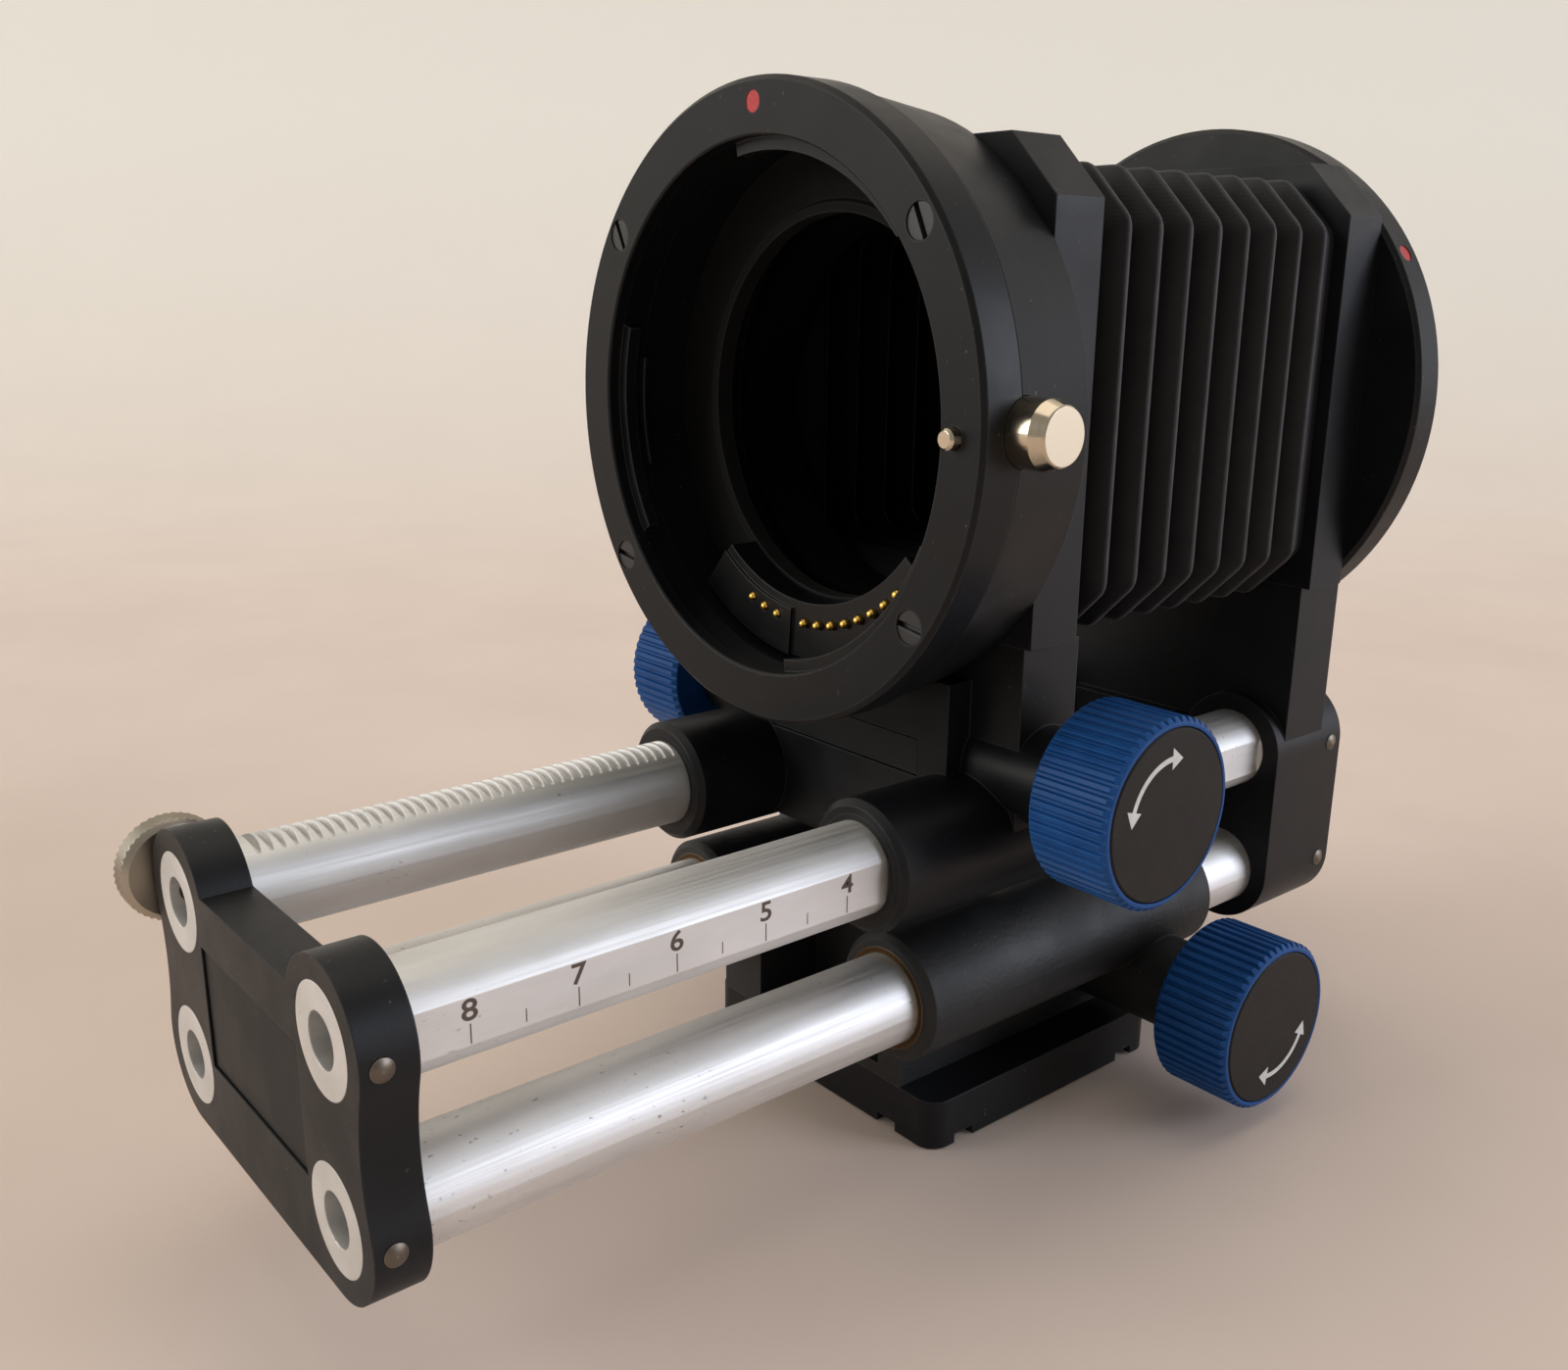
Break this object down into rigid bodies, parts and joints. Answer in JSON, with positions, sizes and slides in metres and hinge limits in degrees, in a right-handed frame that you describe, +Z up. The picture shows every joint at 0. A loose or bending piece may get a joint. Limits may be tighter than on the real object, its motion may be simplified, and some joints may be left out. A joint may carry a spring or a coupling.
{
  "type": "macro bellows unit",
  "caption": "Macro bellows on a geared rod rail: bayonet lens standard with contacts, camera standard, focusing carriage, clamping foot.",
  "frame": {"origin": "centre of the mouth of the tripod socket, on the face the foot rests on", "axes": "+X to the drive-knob side, +Y from the lens end to the camera end along the rods, +Z up"},
  "size_m": [0.0802, 0.1442, 0.1138],
  "materials": {
    "housing_black": "satin, very fine grain",
    "mount_black": "satin",
    "rod_aluminium": "satin, drawn",
    "knob_blue": "anodised, semi-gloss",
    "knob_cap": "satin",
    "nickel": "polished, slightly warm",
    "steel": "turned",
    "bronze": "plain, oiled",
    "bellows_cloth": "matte, coated cloth",
    "contact_plastic": "semi-gloss",
    "gold": "plated, polished",
    "red_dot": "gloss",
    "baffle_black": "matt",
    "liner_black": "satin",
    "screw_black": "blackened",
    "plate_black": "satin, bare of print"
  },
  "bodies": {
    "carriage": {"foot_plate": "housing_black", "foot_screws": "screw_black", "tripod_insert": "steel", "carriage_body": "housing_black", "lower_rod_bushes": "bronze", "lower_shaft_bushes": "bronze"},
    "rail": {"rod_upper_left": "rod_aluminium", "rod_upper_right": "rod_aluminium", "rod_lower_left": "rod_aluminium", "rod_lower_right": "rod_aluminium", "end_plate": "housing_black", "end_plate_screws": "steel", "camera_standard": "housing_black", "camera_standard_screws": "steel", "camera_mount_disc": "mount_black", "camera_bayonet": "nickel", "bayonet_screws": "steel", "rear_contact_block": "contact_plastic", "rear_index_dot": "red_dot", "bellows": "bellows_cloth", "name_plate": "plate_black"},
    "lens_standard": {"lens_standard": "housing_black", "upper_rod_bushes": "liner_black", "upper_shaft_bushes": "bronze", "mount_housing": "mount_black", "light_baffle": "baffle_black", "lens_mount_ring": "mount_black", "mount_leaf_springs": "steel", "mount_screws": "screw_black", "front_index_dot": "red_dot", "contact_block": "contact_plastic", "label_plate": "plate_black"},
    "contact_pin_set": {"contact_pins": "gold"},
    "release_button": {"release_button": "nickel"},
    "lens_lock_pin": {"lens_lock_pin": "nickel"},
    "rod_clamp_screw": {"rod_clamp_screw": "nickel"},
    "upper_drive": {"upper_drive_knob": "knob_blue", "upper_drive_cap": "knob_cap", "upper_pinion_shaft": "steel"},
    "upper_lock": {"upper_lock_knob": "knob_blue", "upper_lock_cap": "knob_cap", "upper_lock_spindle": "steel", "upper_lock_pad": "bronze"},
    "lower_drive": {"lower_drive_knob": "knob_blue", "lower_drive_cap": "knob_cap", "lower_pinion_shaft": "steel"},
    "lower_lock": {"lower_lock_knob": "knob_blue", "lower_lock_cap": "knob_cap", "lower_lock_spindle": "steel", "lower_lock_pad": "bronze"}
  },
  "joints": [
    {"name": "rail_slide", "type": "slide", "parent": "carriage", "child": "rail", "axis": [0, 1, 0], "range_m": [-0.011, 0.0562]},
    {"name": "lens_slide", "type": "slide", "parent": "rail", "child": "lens_standard", "axis": [0, 1, 0], "range_m": [-0.0515, 0.024], "deforming": ["bellows"]},
    {"name": "upper_drive_spin", "type": "hinge", "parent": "lens_standard", "child": "upper_drive", "pos_m": [0, -0.009, 0.044], "axis": [1, 0, 0], "range_deg": [-460, 985]},
    {"name": "lower_drive_spin", "type": "hinge", "parent": "carriage", "child": "lower_drive", "pos_m": [0, 0.0154, 0.0124], "axis": [1, 0, 0], "range_deg": [-1075, 212]},
    {"name": "upper_lock_turn", "type": "hinge", "parent": "lens_standard", "child": "upper_lock", "pos_m": [0, -0.009, 0.044], "axis": [1, 0, 0], "range_deg": [0, 150]},
    {"name": "lower_lock_turn", "type": "hinge", "parent": "carriage", "child": "lower_lock", "pos_m": [0, 0.0154, 0.0124], "axis": [1, 0, 0], "range_deg": [0, 150]},
    {"name": "rod_clamp_turn", "type": "hinge", "parent": "rail", "child": "rod_clamp_screw", "pos_m": [-0.025, -0.0841, 0.0364], "axis": [1, 0, 0], "range_deg": [-180, 0]},
    {"name": "release_press", "type": "slide", "parent": "lens_standard", "child": "release_button", "axis": [-1, 0, 0], "range_m": [0, 0.0015], "stiffness_N_per_m": 900, "springref_m": -0.001},
    {"name": "lock_pin_retract", "type": "slide", "parent": "lens_standard", "child": "lens_lock_pin", "axis": [0, 1, 0], "range_m": [0, 0.0014]},
    {"name": "contact_press", "type": "slide", "parent": "lens_standard", "child": "contact_pin_set", "axis": [0, 1, 0], "range_m": [0, 0.0008], "stiffness_N_per_m": 900, "springref_m": -0.0006}
  ],
  "couplings": [
    {"joint": "upper_drive_spin", "follows": "lens_slide", "rad_per_m": -333.33},
    {"joint": "lower_drive_spin", "follows": "rail_slide", "rad_per_m": -333.33},
    {"joint": "lock_pin_retract", "follows": "release_press", "ratio": 0.9333}
  ]
}
